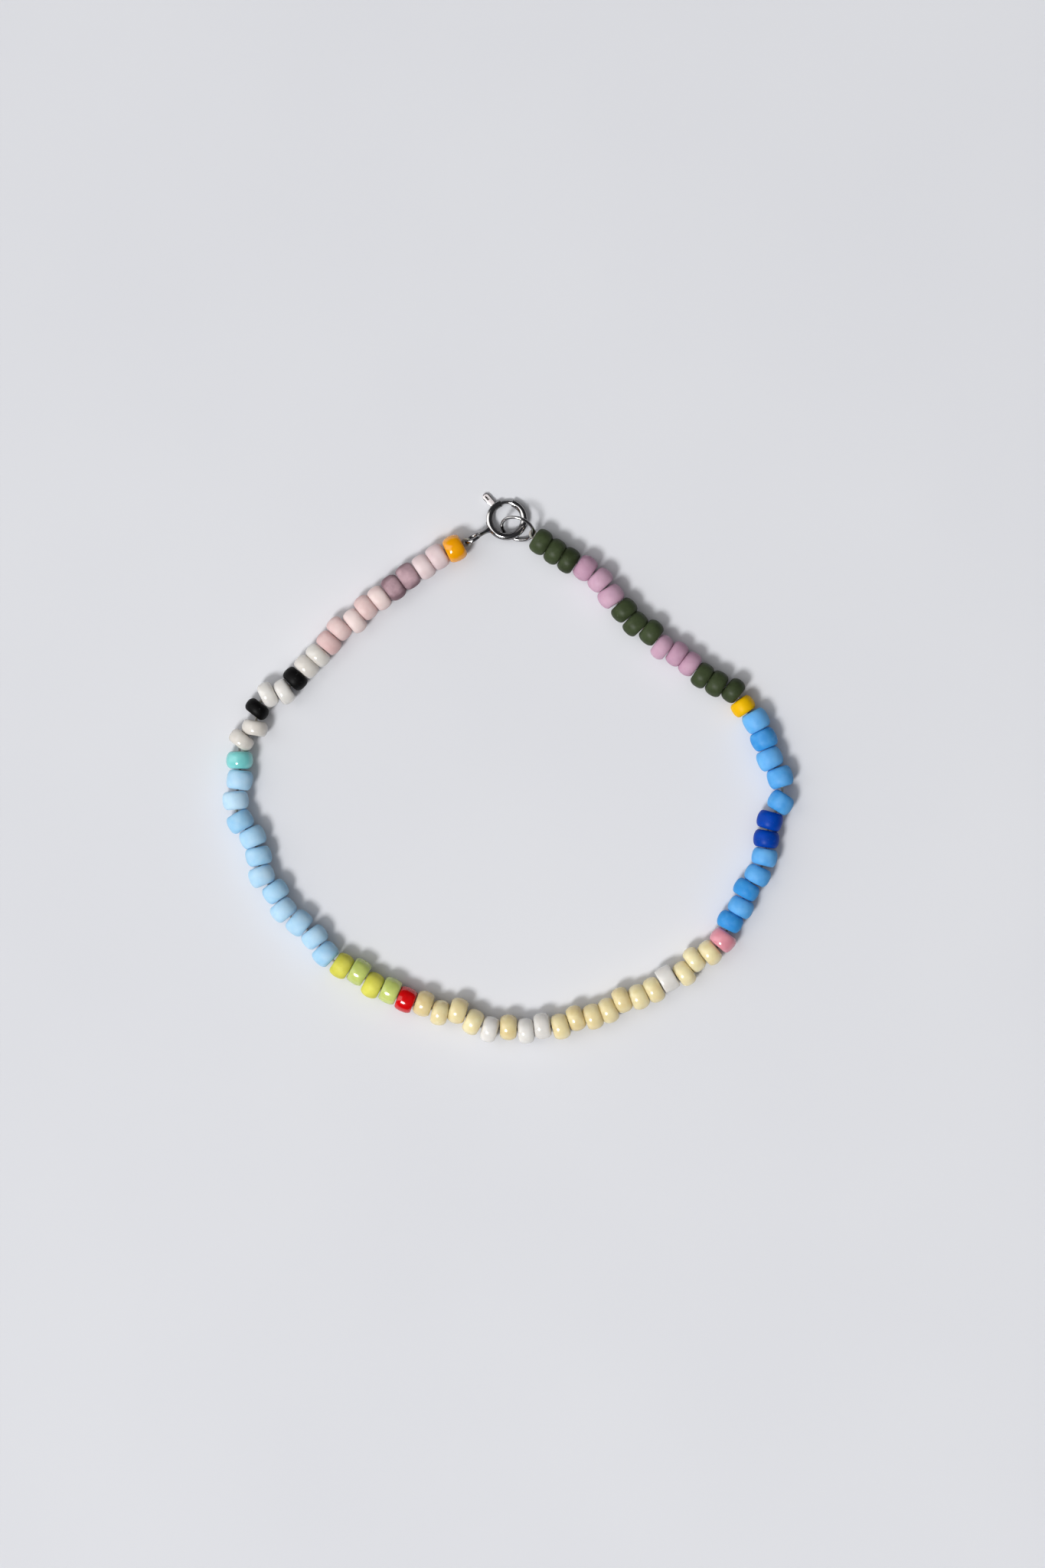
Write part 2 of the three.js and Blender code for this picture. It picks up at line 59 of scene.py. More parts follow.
# %% [markdown]
# ## The camera
# The bracelet was seen from straight above, so the camera looks down without a tilt. A long lens
# from a good half metre away keeps the beads at the frame's edge from being seen from their side.
# What counts is how wide a piece of the table the frame takes in. The clasp's ring is taken to be
# 5 mm across and 55.2 pixels wide, which gives the scale, and its own pixel gives the place.

# %% Set the camera
FRAME_PIXELS = (1365, 2048)
RING_PIXEL = (661.9, 677.9)
PIXEL = 0.0905 * MM
CAMERA_HEIGHT = 600 * MM
BEAD_MIDDLE = 1.5 * MM

camera_data = bpy.data.cameras.new("overhead")
camera_data.sensor_width = 36
camera_data.lens = camera_data.sensor_width * CAMERA_HEIGHT / (FRAME_PIXELS[1] * PIXEL)
camera = bpy.data.objects.new("overhead", camera_data)
camera.location = (
    ring_centre.x + (FRAME_PIXELS[0] / 2 - RING_PIXEL[0]) * PIXEL,
    ring_centre.y - (FRAME_PIXELS[1] / 2 - RING_PIXEL[1]) * PIXEL,
    CAMERA_HEIGHT + BEAD_MIDDLE,
)
bpy.context.scene.collection.objects.link(camera)
bpy.context.scene.camera = camera
bpy.context.scene.view_settings.view_transform = "Standard"
print("The lens is", round(camera_data.lens, 1), "mm")

# %% [markdown]
# ## Reading the beads' places
# Each run of one colour is one solid, and each of its beads rests on one flat facet. That facet's
# middle is under the bead's middle, two of its edges run along the bead's axis, and their length is
# a fixed share of the bead's own length. So a bead's whole place can be read from its solid, and
# nothing has to be typed twice. The solid's flats cut into the round bead it stands for, so the
# round one is a little thicker. The solid itself is left alone: its triangles are merged in a copy.

# %% Find each bead's seat
FACETS = 10
LONG_FLAT, SHORT_FLAT = 0.3, 0.14
ROUNDER = 1.04
SAME_POINT = 1e-3 * MM
ON_THE_TABLE = 2e-3 * MM
IN_ONE_PLANE = 0.002


def round_the_loop(seat):
    """How far round the loop a bead lies, anticlockwise from the clasp."""
    return math.atan2(-seat["middle"].x, seat["middle"].y) % math.tau


def bead_seats(node):
    """The middle, axis, length and radius of each bead of a run, in order round the loop."""
    copy = bmesh.new()
    copy.from_mesh(frame["nodes"][node].data)
    bmesh.ops.remove_doubles(copy, verts=copy.verts, dist=SAME_POINT)
    radius = max(v.co.z for v in copy.verts) / 2
    bmesh.ops.dissolve_limit(
        copy, angle_limit=IN_ONE_PLANE, verts=copy.verts, edges=copy.edges
    )
    across = 2 * radius * math.tan(math.pi / FACETS)
    seats = []
    for face in copy.faces:
        if max(v.co.z for v in face.verts) > ON_THE_TABLE:
            continue
        long_way = max(face.edges, key=lambda edge: abs(edge.calc_length() - across))
        along = long_way.calc_length()
        flat = LONG_FLAT if along > across else SHORT_FLAT
        direction = (long_way.verts[1].co - long_way.verts[0].co).normalized()
        middle = face.calc_center_median()
        seats.append({
            "middle": Vector((middle.x, middle.y, radius * ROUNDER)),
            "axis": direction,
            "length": along / 2 / flat,
            "radius": radius * ROUNDER,
        })
    copy.free()
    seats.sort(key=round_the_loop)
    for seat in seats:
        onward = UP.cross(seat["middle"])
        if seat["axis"].dot(onward) < 0:
            seat["axis"].negate()
    return seats


not_beads = ("thread", "spring_ring", "trigger_gate", "jump_ring")
runs = {name: bead_seats(name) for name in frame["nodes"] if name not in not_beads}
string = sorted((seat for seats in runs.values() for seat in seats), key=round_the_loop)
lengths = [seat["length"] / MM for seat in string]
print(len(string), "beads in", len(runs), "runs")
print("They are", round(min(lengths), 2), "to", round(max(lengths), 2), "mm long")

# %% [markdown]
# ## Where neighbours touch
# Beads on a pulled thread stand face against face. Where the string bends, two faces come closer
# on the inside of the bend, and there the rims touch first. So the room at each end of a bead, which
# is how far out its flat face may run before it would cut into the next one, follows from the bend
# and from the gap between the two faces.

# %% Measure the room at each end
NO_BEND = math.radians(0.2)
TIGHTEST_SHOWN = 12


def room_between(bead, following):
    bend = bead["axis"].angle(following["axis"])
    face = bead["middle"] + bead["axis"] * (bead["length"] / 2)
    next_face = following["middle"] - following["axis"] * (following["length"] / 2)
    gap = (next_face - face).dot((bead["axis"] + following["axis"]).normalized())
    return gap / 2 / math.tan(max(bend, NO_BEND) / 2)


for seat in string:
    seat["room"] = math.inf
for bead, following in zip(string, string[1:]):
    room = room_between(bead, following)
    bead["room"] = min(bead["room"], room)
    following["room"] = min(following["room"], room)
rooms = sorted(seat["room"] / seat["radius"] for seat in string)
tightest = [round(room, 2) for room in rooms[:TIGHTEST_SHOWN]]
print("The tightest faces touch at", tightest, "of a bead's radius")

# %% [markdown]
# ## Turning a bead
# A seed bead is cut from a drawn glass tube and tumbled hot until its edges melt round. So it is a
# body of revolution: a bulging side, a soft rim, a slightly sunken face and a round hole. How long
# it was tumbled decides its shape. Drums keep wide flat faces, barrels have narrower ones, and
# balls have hardly any. One outline holds all of that, and a full spin about the bead's own axis
# makes the bead in place. No two are alike, so each is also a touch narrower at one end, cut a
# little askew and thicker on one side. Three attributes go with it for the glass: tint, the same
# all over one bead, rim, which grows from its middle to its ends, and flank, which grows from its
# top to its sides.

# %% The bead's outline and its spin
HOLE = 1.1 * MM
SIDE_POINTS = 16
FACE_POINTS = 4
SPIN_STEPS = 36
SHAPES = {
    "drum": {"rim": 0.86, "fullness": 3.3},
    "barrel": {"rim": 0.79, "fullness": 2.8},
    "ball": {"rim": 0.66, "fullness": 2.3},
}
NARROWEST_RIM = 0.64
RIM_SPREAD = 0.03
DIP = 0.06
HOLE_DIP = 1.5
CROWN = 0.2
TAPER = 0.05
ASKEW = 0.035
WEDGE = 0.04
chance = random.Random(83)


def bead_outline(seat, shape):
    """Points (along, out) round the bead's section, from the hole's wall over the side and back."""
    half = seat["length"] / 2
    wanted = (shape["rim"] + chance.uniform(-RIM_SPREAD, RIM_SPREAD)) * seat["radius"]
    rim = min(wanted, max(seat["room"], NARROWEST_RIM * seat["radius"]))
    hole = HOLE / 2
    dip = DIP * seat["length"]
    face = []
    for i in range(FACE_POINTS):
        share = i / FACE_POINTS
        out = hole + (rim - hole) * share
        face.append((half - dip * (1 - share) ** 2, out))
    face[0] = (half - HOLE_DIP * dip, hole)
    side = []
    for i in range(SIDE_POINTS + 1):
        reach = math.cos(math.pi * i / SIDE_POINTS)
        bulge = math.sqrt(max(0.0, 1 - abs(reach) ** shape["fullness"]))
        swell = (1 - CROWN) * bulge + CROWN * (1 - reach * reach)
        side.append((half * reach, rim + (seat["radius"] - rim) * swell))
    back = [(-along, out) for along, out in reversed(face)]
    return face + side + back


def turn_bead(bm, seat, shape, tint):
    """Adds one bead to a bmesh at its seat."""
    tint_layer = bm.verts.layers.float["tint"]
    rim_layer = bm.verts.layers.float["rim"]
    flank_layer = bm.verts.layers.float["flank"]
    axis, middle = seat["axis"], seat["middle"]
    outline = [
        bm.verts.new(middle + axis * along + UP * out)
        for along, out in bead_outline(seat, shape)
    ]
    edges = [bm.edges.new((a, b)) for a, b in zip(outline, outline[1:] + outline[:1])]
    before = set(bm.verts) - set(outline)
    bmesh.ops.spin(
        bm, geom=outline + edges, cent=middle, axis=axis,
        angle=math.tau, steps=SPIN_STEPS, use_merge=True,
    )
    taper = TAPER * chance.uniform(-1, 1)
    askew = ASKEW * chance.uniform(-1, 1)
    wedge = WEDGE * chance.uniform(-1, 1)
    side = axis.cross(UP)
    for vert in bm.verts:
        if vert in before:
            continue
        offset = vert.co - middle
        along = offset.dot(axis)
        share = along / (seat["length"] / 2)
        out = offset - axis * along
        narrowed = out * (1 - abs(taper) * (1 + math.copysign(share, taper) * abs(share)) / 2)
        sideways = out.dot(side) / seat["radius"]
        thicker = 1 + wedge * sideways
        vert.co = middle + narrowed + axis * (along * thicker + askew * out.dot(side))
        vert[tint_layer] = tint
        # rim and flank carry painted shade: the glass darkens each bead towards its ends and its
        # sides.
        vert[rim_layer] = abs(share) ** 3
        vert[flank_layer] = abs(sideways) ** 4


# %% [markdown]
# ## Making a piece
# Every piece is one mesh whose object sits at the origin, because its place is in its mesh, just as
# the solids' are. One function closes a bmesh into such a piece: it merges doubled points, turns
# the faces outwards, shades them smooth, and says which body it rides on and which solid it stands
# for.

# %% A bmesh becomes a piece
DOUBLED = 1e-4 * MM


def make_piece(bm, name, body, replaced, material):
    bmesh.ops.remove_doubles(bm, verts=bm.verts, dist=DOUBLED)
    bmesh.ops.recalc_face_normals(bm, faces=bm.faces)
    for face in bm.faces:
        face.smooth = True
    mesh = bpy.data.meshes.new(name)
    bm.to_mesh(mesh)
    bm.free()
    return place_piece(mesh, name, body, replaced, material)


def place_piece(mesh, name, body, replaced, material):
    piece = bpy.data.objects.new(name, mesh)
    bpy.context.scene.collection.objects.link(piece)
    mesh.materials.append(material)
    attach(piece, body)
    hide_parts(replaced)
    return piece


# %% [markdown]
# ## Writing shaders as sums
# A procedural finish is mostly arithmetic on a few patterns, and a long chain of Math nodes is hard
# to read. So one small class wraps a node's output and lets Python's own operators add the nodes.

# %% A node's output that can be reckoned with
class Signal:
    """A node's output. Operators on it add Math nodes to the same material."""

    def __init__(self, socket):
        self.socket = socket

    @staticmethod
    def node(tree, kind, settings=None, values=None, output=0):
        made = tree.nodes.new(kind)
        for name, value in (settings or {}).items():
            setattr(made, name, value)
        for name, value in (values or {}).items():
            if isinstance(value, Signal):
                tree.links.new(value.socket, made.inputs[name])
            else:
                made.inputs[name].default_value = value
        return Signal(made.outputs[output])

    def math(self, operation, first, second):
        settings = {"operation": operation}
        return Signal.node(self.socket.id_data, "ShaderNodeMath", settings, {0: first, 1: second})

    def __add__(self, other):
        return self.math("ADD", self, other)

    def __radd__(self, other):
        return self.math("ADD", other, self)

    def __sub__(self, other):
        return self.math("SUBTRACT", self, other)

    def __rsub__(self, other):
        return self.math("SUBTRACT", other, self)

    def __mul__(self, other):
        return self.math("MULTIPLY", self, other)

    def __rmul__(self, other):
        return self.math("MULTIPLY", other, self)

    def clamped(self):
        settings = {"operation": "ADD", "use_clamp": True}
        return Signal.node(self.socket.id_data, "ShaderNodeMath", settings, {0: self, 1: 0.0})


def mix(tree, share, first, second):
    """A colour between two others."""
    values = {0: share, 6: first, 7: second}
    return Signal.node(tree, "ShaderNodeMix", {"data_type": "RGBA"}, values, output=2)


def noise(tree, place, feature, detail=2.0):
    """Soft noise from 0 to 1 with features of about that size in metres."""
    values = {"Vector": place, "Scale": 1 / feature, "Detail": detail}
    return Signal.node(tree, "ShaderNodeTexNoise", {}, values, output="Fac")


def attribute(tree, name):
    return Signal.node(tree, "ShaderNodeAttribute", {"attribute_name": name}, output="Fac")


def bump(tree, height, strength):
    """The surface's normal as a height in metres tilts it."""
    values = {"Height": height, "Strength": strength, "Distance": 1.0}
    return Signal.node(tree, "ShaderNodeBump", {}, values)


def dot(tree, first, second):
    settings = {"operation": "DOT_PRODUCT"}
    return Signal.node(tree, "ShaderNodeVectorMath", settings, {0: first, 1: second}, "Value")


def plain(code):
    """The linear colour of a hexadecimal one."""
    shares = [int(code[i : i + 2], 16) / 255 for i in (0, 2, 4)]
    linear = [s / 12.92 if s < 0.04045 else ((s + 0.055) / 1.055) ** 2.4 for s in shares]
    return (*linear, 1.0)


def new_material(name):
    material = bpy.data.materials.new(name)
    material.use_nodes = True
    tree = material.node_tree
    place = Signal.node(tree, "ShaderNodeTexCoord", output="Object")
    return material, tree, tree.nodes["Principled BSDF"], place


def connect(shader, **signals):
    for name, signal in signals.items():
        shader.id_data.links.new(signal.socket, shader.inputs[name.replace("_", " ")])


# %% [markdown]
# ## The glasses
# The beads are of four kinds. Glossy ones keep the skin of the fire, so they only ripple faintly.
# Satin ones were dipped in acid for a moment, and matt ones for longer, which leaves a fine frosted
# grain and no sharp highlight. Frosted clear ones let light through as well, so they glow on the
# side away from the lamp, and their darker rims are painted shade. One function makes them all: a
# colour that drifts between a light and a deep one from bead to bead and in clouds within a bead,
# painted shade towards each bead's ends and sides, a roughness that varies, a grain, and some light
# that wanders under the surface.

# %% Glass for the beads
# Each glass's edge, 0.3 where it isn't given, weighs the painted shade on its beads' sides.
GLASSES = {
    "amber": {"light": "fcb000", "deep": "ea9600", "rough": 0.12, "grain": 0.0, "through": 0.25},
    "pale_pink": {"light": "ecdada", "deep": "dcc4c6", "rough": 0.34, "grain": 0.2, "through": 0.3},
    "mauve": {
        "light": "d8b8c0", "deep": "846870", "rough": 0.42, "grain": 0.4, "through": 0.4,
        "edge": 1.0,
    },
    "pink": {"light": "f0dcd8", "deep": "dcbab8", "rough": 0.38, "grain": 0.3, "through": 0.3},
    "ivory": {"light": "e8e4dd", "deep": "d6d0c8", "rough": 0.16, "grain": 0.0, "through": 0.3},
    "black": {"light": "0c0b0c", "deep": "050505", "rough": 0.5, "grain": 0.6, "through": 0.0},
    "white": {"light": "eeebe6", "deep": "e0dcd6", "rough": 0.16, "grain": 0.0, "through": 0.3},
    "turquoise": {"light": "8cdcd8", "deep": "6cc4c6", "rough": 0.1, "grain": 0.0, "through": 0.2},
    "pale_blue": {"light": "c0def2", "deep": "98c8e8", "rough": 0.5, "grain": 0.5, "through": 0.5},
    "lime_yellow": {
        "light": "eae66c", "deep": "ccc84c", "rough": 0.42, "grain": 0.5, "through": 0.5,
    },
    "lime_green": {
        "light": "dce48a", "deep": "b8c86e", "rough": 0.14, "grain": 0.1, "through": 0.8,
    },
    "red": {"light": "e40a0e", "deep": "c00206", "rough": 0.12, "grain": 0.0, "through": 0.1},
    "cream": {"light": "f6eac0", "deep": "e2ce98", "rough": 0.2, "grain": 0.1, "through": 0.8},
    "coral": {"light": "e89eaa", "deep": "d28294", "rough": 0.14, "grain": 0.0, "through": 0.3},
    "blue": {"light": "70b6ee", "deep": "3a94da", "rough": 0.42, "grain": 0.6, "through": 0.5},
    "royal": {"light": "0048b8", "deep": "003898", "rough": 0.4, "grain": 0.6, "through": 0.1},
    "yellow": {"light": "f4c000", "deep": "e4aa00", "rough": 0.46, "grain": 0.5, "through": 0.2},
    "green": {"light": "465236", "deep": "2c341f", "rough": 0.42, "grain": 0.6, "through": 0.1},
    "lilac": {"light": "d0acc0", "deep": "b88ea6", "rough": 0.42, "grain": 0.5, "through": 0.35},
}
GLASS_IOR = 1.52
GLOSS, MATT = 0.75, 0.1
MATT_FROM = 0.3
CLOUD = 1.1 * MM
CLOUD_WEIGHT, TINT_WEIGHT = 1.2, 0.5
RIPPLE, RIPPLE_HEIGHT = 0.7 * MM, 0.012  # these two heights are in mm
FROST, FROST_HEIGHT = 0.05 * MM, 0.006
GLASS_BUMP = 0.6
DUST = 0.25 * MM
DUST_FROM, DUST_STEEPNESS = 0.62, 6.0
DUST_COLOUR = "dcdce0"
SCATTER = 0.9 * MM
SCATTER_COLOUR = (1.0, 0.9, 0.8)


def glass(name, light, deep, rough, grain, through, edge=0.3):
    material, tree, shader, place = new_material(name + "_glass")
    tint = attribute(tree, "tint")
    rim = attribute(tree, "rim")
    flank = attribute(tree, "flank")
    cloud = noise(tree, place, CLOUD, 3.0)
    dust = noise(tree, place, DUST, 4.0)
    # Painted shade: the colour is pushed towards the deep one at each bead's ends, more for clearer
    # glass, and at its sides as much as edge says.
    painted_shade = rim * (0.2 + 0.3 * through) + flank * edge
    share = (0.6 + TINT_WEIGHT * tint + (cloud - 0.5) * CLOUD_WEIGHT - painted_shade).clamped()
    body = mix(tree, share, plain(deep), plain(light))
    worn = ((dust - DUST_FROM) * DUST_STEEPNESS).clamped() * (0.02 + 0.04 * grain)
    connect(shader, Base_Color=mix(tree, worn, body, plain(DUST_COLOUR)))
    unevenness = (dust - 0.5) * (0.1 + 0.1 * grain)
    connect(shader, Roughness=(rough + unevenness + rim * 0.06).clamped())

    ripple = noise(tree, place, RIPPLE, 1.0) * RIPPLE_HEIGHT * MM
    frost = noise(tree, place, FROST, 2.0) * (FROST_HEIGHT * grain * MM)
    connect(shader, Normal=bump(tree, ripple + frost, GLASS_BUMP))
    shader.inputs["IOR"].default_value = GLASS_IOR
    shader.inputs["Specular IOR Level"].default_value = GLOSS if rough < MATT_FROM else MATT
    shader.inputs["Subsurface Weight"].default_value = through
    shader.inputs["Subsurface Radius"].default_value = SCATTER_COLOUR
    shader.inputs["Subsurface Scale"].default_value = SCATTER
    return material


glasses = {name: glass(name, **finish) for name, finish in GLASSES.items()}
print(len(glasses), "glasses")

# %% [markdown]
# ## Threading the beads
# The beads of one colour aren't quite one colour. Where a bead stands out from its run, its tint is
# listed, from -1 for the deepest to 1 for the lightest, and elsewhere it is left to chance.

# %% Make each run
TINTS = {
    "pink": [0.6, -0.3, 0.9, -0.2, -0.9],
    "pale_blue": [0.1, 0.8, -0.7, -0.1, -0.5, 0.4, -0.2, 0.5, 0.0, 0.3, -0.3],
    "cream_a": [-0.9, 0.2, -0.1, 0.4],
    "blue_a": [-1.0, 0.3, -1.0, 0.2, 0.5],
    "blue_b": [0.0, 0.1, 0.7, -0.6, 0.8],
}
TINT_SPREAD = 0.5
SHAPE_OF = {
    "amber": "ball", "lime_yellow": "ball", "cream": "ball", "lilac": "ball",
    "pale_pink": "drum", "white": "drum", "pale_blue": "drum", "coral": "drum",
}


def finish_of(run):
    """A run's glass is its name without the letter that tells it from others of its colour."""
    return run if run in GLASSES else run[:-2]


for run, seats in runs.items():
    bm = bmesh.new()
    bm.verts.layers.float.new("tint")
    bm.verts.layers.float.new("rim")
    bm.verts.layers.float.new("flank")
    tints = TINTS.get(run, [chance.uniform(-TINT_SPREAD, TINT_SPREAD) for _ in seats])
    finish = finish_of(run)
    for seat, tint in zip(seats, tints):
        turn_bead(bm, seat, SHAPES[SHAPE_OF.get(finish, "barrel")], tint)
    make_piece(bm, run + "_beads", "bracelet", run, glasses[finish])
print("Threaded", len(runs), "runs")

# %% [markdown]
# ## Silver
# The clasp is polished silver-coloured metal. Its colour is nearly white on top, and it is mostly
# what it reflects that makes it look dark or bright. Handling leaves fine scratches and a slightly
# duller, warmer film in places, so the roughness and the colour drift a little, and a fine bump
# breaks up the edges of its highlights. Where the wires' surfaces turn sideways and down, their
# colour is darkened as painted shade, which widens the dark bands of reflected room on their sides.

# %% Polished silver
SILVER_ROUGH = 0.05
FILM = 0.9 * MM
SCRATCH, SCRATCH_HEIGHT = 0.3 * MM, 0.004 * MM
SCRATCH_TURN, SCRATCH_STRETCH = (0.3, 0.2, 0.6), (1.0, 9.0, 9.0)
PAINTED_SIDE_SHADE_BELOW, PAINTED_SIDE_SHADE_STEEPNESS = 0.8, 3.0
METAL_BUMP = 0.5


def polished_silver():
    material, tree, shader, place = new_material("polished_silver")
    outward = Signal.node(tree, "ShaderNodeTexCoord", output="Normal")
    upright = dot(tree, outward, UP)
    # Painted shade: where the surface turns sideways or down, the colour goes over to dark 545150.
    painted_side_shade = ((PAINTED_SIDE_SHADE_BELOW - upright) * PAINTED_SIDE_SHADE_STEEPNESS).clamped()
    film = noise(tree, place, FILM, 3.0)
    turned = {"Vector": place, "Rotation": SCRATCH_TURN, "Scale": SCRATCH_STRETCH}
    scratched = Signal.node(tree, "ShaderNodeMapping", {"vector_type": "POINT"}, turned)
    scratches = noise(tree, scratched, SCRATCH, 4.0)
    rubbed = mix(tree, film, plain("cfccca"), plain("e6e5e6"))
    connect(shader, Base_Color=mix(tree, painted_side_shade, rubbed, plain("545150")))
    connect(shader, Roughness=(SILVER_ROUGH + film * 0.06 + scratches * 0.08).clamped())
    connect(shader, Normal=bump(tree, scratches * SCRATCH_HEIGHT, METAL_BUMP))
    shader.inputs["Metallic"].default_value = 1.0
    return material


metal = polished_silver()

# %% [markdown]
# ## The spring ring
# A spring ring is a thin metal tube bent into a circle. It has a mouth, which the gate closes, and
# a slot in its outer side, along which the trigger slides. A circle of points spun about the ring's
# axis gives the tube, the faces over the slot are taken out, and a Solidify modifier gives what is
# left a wall, so that both the mouth and the slot show real edges.

# %% Bend the tube
RING_RADIUS = 2.07 * MM
TUBE_RADIUS = 0.43 * MM
TUBE_WALL = 0.16 * MM
MOUTH_START, MOUTH_END = 72, 109
TRIGGER_ANGLE, GATE_TRAVEL = 132, 42
TRIGGER_WIDTH, TRIGGER_THICKNESS = 0.9 * MM, 0.34 * MM
CLEARANCE = 0.07 * MM
TUBE_SIDES, TUBE_STEPS = 32, 160
EDGE_WIDTH, EDGE_SEGMENTS, SHARP = 0.03 * MM, 2, math.radians(50)
ring_turn = UP.rotation_difference(Vector(joint["axis"]))
ring_place = Matrix.Translation(ring_centre) @ ring_turn.to_matrix().to_4x4()


def section(bm, radius, points, reach, degrees):
    """A circle of points square to a ring's line, at a reach and an angle about its axis."""
    made = bmesh.ops.create_circle(bm, segments=points, radius=radius)["verts"]
    turn = Matrix.Rotation(math.radians(degrees), 4, "Z")
    upright = Matrix.Rotation(math.pi / 2, 4, "X")
    bmesh.ops.transform(bm, matrix=turn @ Matrix.Translation((reach, 0, 0)) @ upright, verts=made)
    return made


def bend_wire(bm, radius, points, reach, start, end, steps, capped=True):
    """A round wire along part of a ring about Z, from one angle to another."""
    first = section(bm, radius, points, reach, start)
    loop = list({edge for vert in first for edge in vert.link_edges})
    spun = bmesh.ops.spin(
        bm, geom=first + loop, cent=(0, 0, 0), axis=UP, angle=math.radians(end - start), steps=steps
    )
    if capped:
        last = [edge for edge in spun["geom_last"] if isinstance(edge, bmesh.types.BMEdge)]
        bmesh.ops.holes_fill(bm, edges=loop + last, sides=points)


def round_edges(piece):
    """Softens the sharp edges of a metal piece."""
    edge = piece.modifiers.new("edge", "BEVEL")
    edge.width = EDGE_WIDTH
    edge.segments = EDGE_SEGMENTS
    edge.limit_method = "ANGLE"
    edge.angle_limit = SHARP


def half_angle(width):
    return math.degrees(width / 2 / RING_RADIUS)


slot_start = TRIGGER_ANGLE - half_angle(TRIGGER_WIDTH) - half_angle(2 * CLEARANCE)
slot_end = TRIGGER_ANGLE + GATE_TRAVEL + half_angle(TRIGGER_WIDTH) + half_angle(2 * CLEARANCE)
slot_half = TRIGGER_THICKNESS / 2 + CLEARANCE

bm = bmesh.new()
bend_wire(
    bm, TUBE_RADIUS, TUBE_SIDES, RING_RADIUS, MOUTH_END, MOUTH_START + 360, TUBE_STEPS, capped=False
)
over_slot = []
for face in bm.faces:
    middle = face.calc_center_median()
    angle = math.degrees(math.atan2(middle.y, middle.x)) % 360
    outside = middle.xy.length > RING_RADIUS
    if outside and slot_start < angle < slot_end and abs(middle.z) < slot_half:
        over_slot.append(face)
bmesh.ops.delete(bm, geom=over_slot, context="FACES")
bm.transform(ring_place)
tube = make_piece(bm, "clasp_tube", "bracelet", "spring_ring", metal)
wall = tube.modifiers.new("wall", "SOLIDIFY")
wall.thickness = TUBE_WALL
wall.offset = -1
round_edges(tube)
print("The slot runs from", round(slot_start), "to", round(slot_end), "degrees")

# %% [markdown]
# ## The eye
# The thread is tied to a nearly upright eye, which stands on a short neck soldered to the tube.
# The eye is a wire circle, and the neck is turned: a line of points, wide where the solder runs out
# over the tube and where it meets the eye, and narrow in between.

# %% Make the eye and its neck
EYE_ANGLE = 210
EYE_LEAN = math.radians(18)
EYE_RADIUS = 0.84 * MM
EYE_WIRE = 0.21 * MM
NECK_LENGTH = 1.1 * MM
NECK_WAIST = 0.27 * MM
NECK_STEPS, NECK_SIDES = 12, 24
NECK_SINK = 0.7
SOLDER_FLARE = 0.2 * MM
FLARE_RATIO = 5
EYE_SIDES, EYE_STEPS = 16, 64

eye_out = Vector((math.cos(math.radians(EYE_ANGLE)), math.sin(math.radians(EYE_ANGLE)), 0))
eye_line = UP.cross(eye_out) * math.sin(EYE_LEAN) + UP * math.cos(EYE_LEAN)
eye_reach = RING_RADIUS + TUBE_RADIUS + NECK_LENGTH + EYE_RADIUS + EYE_WIRE
eye_middle = Vector((ring_centre.x, ring_centre.y, 0)) + eye_out * eye_reach
eye_middle.z = string[0]["radius"]
ring_out = ring_place.inverted().to_3x3() @ eye_out
tube_side = ring_place @ (ring_out * (RING_RADIUS + NECK_SINK * TUBE_RADIUS))
neck_end = eye_middle - eye_out * EYE_RADIUS
eye_end = eye_middle + eye_out * EYE_RADIUS

bm = bmesh.new()
bend_wire(bm, EYE_WIRE, EYE_SIDES, EYE_RADIUS, 0, 360, EYE_STEPS, capped=False)
upright = Matrix.Rotation(math.pi / 2 - EYE_LEAN, 4, "X")
stand = Matrix.Rotation(math.radians(EYE_ANGLE), 4, "Z") @ upright
bm.transform(Matrix.Translation(eye_middle) @ stand)
neck_line = neck_end - tube_side
neck_side = neck_line.cross(UP).normalized()
neck_points = []
for i in range(NECK_STEPS + 1):
    share = i / NECK_STEPS
    at_tube, at_eye = max(0, 1 - 2 * share), max(0, 3 * share - 2)
    flare = SOLDER_FLARE * (at_tube**2 + at_eye**2 / FLARE_RATIO)
    place = tube_side + neck_line * share + neck_side * (NECK_WAIST + flare)
    neck_points.append(bm.verts.new(place))
neck_edges = [bm.edges.new(pair) for pair in zip(neck_points, neck_points[1:])]
bmesh.ops.spin(
    bm, geom=neck_points + neck_edges, cent=tube_side, axis=neck_line.normalized(),
    angle=math.tau, steps=NECK_SIDES, use_merge=True,
)
open_ends = [edge for edge in bm.edges if edge.is_boundary]
bmesh.ops.holes_fill(bm, edges=open_ends, sides=NECK_SIDES)
make_piece(bm, "clasp_eye", "bracelet", "spring_ring", metal)
print("The eye stands", round(eye_middle.z / MM, 2), "mm up")

# %% [markdown]
# ## The gate
# The gate is a thin wire that slides out of the tube and closes the mouth. A spring in the tube
# pushes it shut. It is bent in the same way as the tube, but its two ends are closed.

# %% Bend the gate
GATE_WIRE = 0.2 * MM
GATE_OVERLAP, GATE_TAIL = 5, 16
GATE_SIDES, GATE_STEPS = 20, 64

gate_start, gate_end = MOUTH_START - GATE_OVERLAP, TRIGGER_ANGLE + GATE_TAIL
bm = bmesh.new()
bend_wire(bm, GATE_WIRE, GATE_SIDES, RING_RADIUS, gate_start, gate_end, GATE_STEPS)
bm.transform(ring_place)
make_piece(bm, "clasp_gate", "trigger", "trigger_gate", metal)
print("The gate's wire is", 2 * GATE_WIRE / MM, "mm thick")

